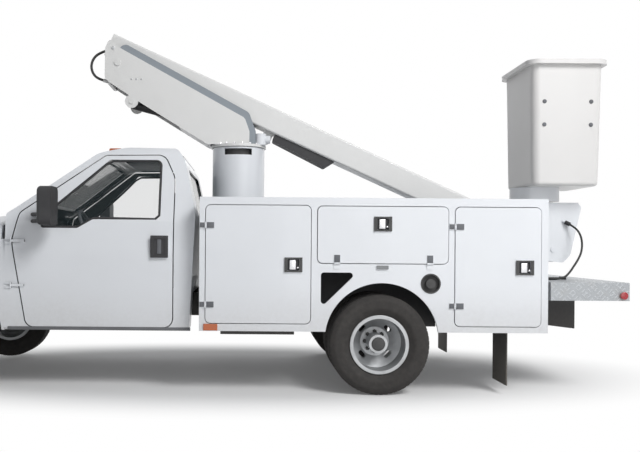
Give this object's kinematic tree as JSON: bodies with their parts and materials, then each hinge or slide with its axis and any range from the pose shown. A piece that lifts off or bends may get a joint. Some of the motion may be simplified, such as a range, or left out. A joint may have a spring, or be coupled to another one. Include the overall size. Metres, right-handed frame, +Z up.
{
  "type": "cherry picker truck",
  "caption": "Chassis cab truck with twin rear wheels, white service body, turret and telescopic boom carrying a one-person bucket over the tail deck.",
  "frame": {"origin": "on the ground below the middle of the whole truck", "axes": "+Z up, front of the truck towards -X, driver's side at -Y"},
  "size_m": [6.736, 2.71, 3.1696],
  "materials": {
    "white_paint": "gloss",
    "boom_paint": "satin",
    "liner_paint": "satin",
    "bucket_shell": "satin",
    "black_paint": "satin",
    "black_plastic": "matt",
    "grey_trim": "matt",
    "seat_cloth": "matt",
    "tyre": "matt",
    "wheel_steel": "satin",
    "cast_iron": "matt",
    "tread_plate": "brushed",
    "rod_chrome": "polished",
    "glass": "gloss",
    "lamp": "gloss",
    "amber": "gloss",
    "rubber": "matt"
  },
  "bodies": {
    "root": {"frame_rails": "black_paint", "front_axle": "black_paint", "rear_axle": "black_paint", "leaf_springs": "black_paint", "engine_block": "cast_iron", "fuel_tank": "black_plastic", "cab_shell": "white_paint", "cab_glass": "glass", "dashboard": "grey_trim", "steering_wheel": "grey_trim", "bench_seat": "seat_cloth", "front_fenders": "white_paint", "grille": "black_plastic", "headlamps": "lamp", "front_bumper": "tread_plate", "body_side_left": "white_paint", "body_side_right": "white_paint", "cargo_floor": "white_paint", "fuel_filler": "tread_plate", "tail_deck": "tread_plate", "hitch_support": "black_paint", "mud_flaps": "rubber", "marker_lamps": "amber", "pedestal": "white_paint", "slew_ring": "cast_iron"},
    "hood": {"hood": "white_paint"},
    "turret": {"turret": "boom_paint", "turret_liner": "liner_paint", "slew_drive": "white_paint", "boom_hose": "rubber"},
    "boom": {"outer_boom": "boom_paint", "boom_shroud": "black_plastic"},
    "boom_inner": {"inner_boom": "boom_paint"},
    "platform": {"platform_bracket": "white_paint", "bucket": "bucket_shell", "deck_cable": "rubber"},
    "lift_barrel": {"cylinder_barrel": "black_paint"},
    "lift_rod": {"cylinder_rod": "rod_chrome"},
    "cab_door_left": {"cab_door_left": "white_paint", "door_glass_left": "glass", "mirror_left": "black_plastic"},
    "knuckle_left": {"knuckle_left": "black_paint"},
    "front_wheel_left": {"front_rim_left": "wheel_steel", "front_tyre_left": "tyre"},
    "rear_wheels_left": {"rear_rims_left": "wheel_steel", "rear_tyres_left": "tyre"},
    "box_door_front_left": {"box_door_front_left": "white_paint"},
    "box_door_middle_left": {"box_door_middle_left": "white_paint"},
    "box_door_rear_left": {"box_door_rear_left": "white_paint"},
    "cab_door_right": {"cab_door_right": "white_paint", "door_glass_right": "glass", "mirror_right": "black_plastic"},
    "knuckle_right": {"knuckle_right": "black_paint"},
    "front_wheel_right": {"front_rim_right": "wheel_steel", "front_tyre_right": "tyre"},
    "rear_wheels_right": {"rear_rims_right": "wheel_steel", "rear_tyres_right": "tyre"},
    "box_door_front_right": {"box_door_front_right": "white_paint"},
    "box_door_middle_right": {"box_door_middle_right": "white_paint"},
    "box_door_rear_right": {"box_door_rear_right": "white_paint"}
  },
  "joints": [
    {"name": "cab_door_left_swing", "type": "hinge", "parent": "root", "child": "cab_door_left", "pos_m": [-1.83303, -1.025, 1.032], "axis": [0, 0, -1], "range_deg": [0, 68]},
    {"name": "steer_left", "type": "hinge", "parent": "root", "child": "knuckle_left", "pos_m": [-2.40303, -0.74, 0.3995], "axis": [0, 0, 1], "range_deg": [-35, 35]},
    {"name": "front_wheel_left_spin", "type": "hinge", "parent": "knuckle_left", "child": "front_wheel_left", "pos_m": [-2.40303, -0.87, 0.3995], "axis": [0, 1, 0], "continuous": true},
    {"name": "rear_wheels_left_spin", "type": "hinge", "parent": "root", "child": "rear_wheels_left", "pos_m": [1.17297, -0.9, 0.3995], "axis": [0, 1, 0], "continuous": true},
    {"name": "box_door_front_left_swing", "type": "hinge", "parent": "root", "child": "box_door_front_left", "pos_m": [-0.22603, -1.204, 1.03], "axis": [0, 0, -1], "range_deg": [0, 90]},
    {"name": "box_door_middle_left_drop", "type": "hinge", "parent": "root", "child": "box_door_middle_left", "pos_m": [1.18697, -1.204, 1.051], "axis": [1, 0, 0], "range_deg": [0, 90]},
    {"name": "box_door_rear_left_swing", "type": "hinge", "parent": "root", "child": "box_door_rear_left", "pos_m": [1.76297, -1.204, 1.03], "axis": [0, 0, -1], "range_deg": [0, 90]},
    {"name": "cab_door_right_swing", "type": "hinge", "parent": "root", "child": "cab_door_right", "pos_m": [-1.83303, 1.025, 1.032], "axis": [0, 0, 1], "range_deg": [0, 68]},
    {"name": "steer_right", "type": "hinge", "parent": "root", "child": "knuckle_right", "pos_m": [-2.40303, 0.74, 0.3995], "axis": [0, 0, 1], "range_deg": [-35, 35]},
    {"name": "front_wheel_right_spin", "type": "hinge", "parent": "knuckle_right", "child": "front_wheel_right", "pos_m": [-2.40303, 0.87, 0.3995], "axis": [0, 1, 0], "continuous": true},
    {"name": "rear_wheels_right_spin", "type": "hinge", "parent": "root", "child": "rear_wheels_right", "pos_m": [1.17297, 0.9, 0.3995], "axis": [0, 1, 0], "continuous": true},
    {"name": "box_door_front_right_swing", "type": "hinge", "parent": "root", "child": "box_door_front_right", "pos_m": [-0.22603, 1.204, 1.03], "axis": [0, 0, 1], "range_deg": [0, 90]},
    {"name": "box_door_middle_right_drop", "type": "hinge", "parent": "root", "child": "box_door_middle_right", "pos_m": [1.18697, 1.204, 1.051], "axis": [-1, 0, 0], "range_deg": [0, 90]},
    {"name": "box_door_rear_right_swing", "type": "hinge", "parent": "root", "child": "box_door_rear_right", "pos_m": [1.76297, 1.204, 1.03], "axis": [0, 0, 1], "range_deg": [0, 90]},
    {"name": "hood_lift", "type": "hinge", "parent": "root", "child": "hood", "pos_m": [-1.91803, 0, 1.444], "axis": [0, 1, 0], "range_deg": [0, 52]},
    {"name": "turret_slew", "type": "hinge", "parent": "root", "child": "turret", "pos_m": [0.01397, 0, 2.105], "axis": [0, 0, 1], "range_deg": [-180, 180]},
    {"name": "boom_raise", "type": "hinge", "parent": "turret", "child": "boom", "pos_m": [-1.11903, 0, 2.884], "axis": [0, -1, 0], "range_deg": [0, 99], "deforming": ["boom_hose"]},
    {"name": "boom_extend", "type": "slide", "parent": "boom", "child": "boom_inner", "axis": [0.9107, 0, -0.4131], "range_m": [0, 2], "deforming": ["deck_cable"]},
    {"name": "platform_level", "type": "hinge", "parent": "boom_inner", "child": "platform", "pos_m": [2.97853, 0, 1.16912], "axis": [0, -1, 0], "range_deg": [-99, 0]},
    {"name": "lift_tilt", "type": "hinge", "parent": "turret", "child": "lift_barrel", "pos_m": [-0.98603, 0, 2.524], "axis": [0, -1, 0], "range_deg": [0, 95]},
    {"name": "lift_stroke", "type": "slide", "parent": "lift_barrel", "child": "lift_rod", "axis": [0.9684, 0, -0.2493], "range_m": [0, 0.58]}
  ],
  "couplings": [
    {"joint": "steer_right", "follows": "steer_left", "ratio": 1},
    {"joint": "turret_slew", "follows": "boom_raise", "ratio": 1.8},
    {"joint": "platform_level", "follows": "boom_raise", "ratio": -1},
    {"joint": "lift_tilt", "follows": "boom_raise", "ratio": 0.953},
    {"joint": "lift_stroke", "follows": "boom_raise", "m_per_rad": 0.3304}
  ]
}
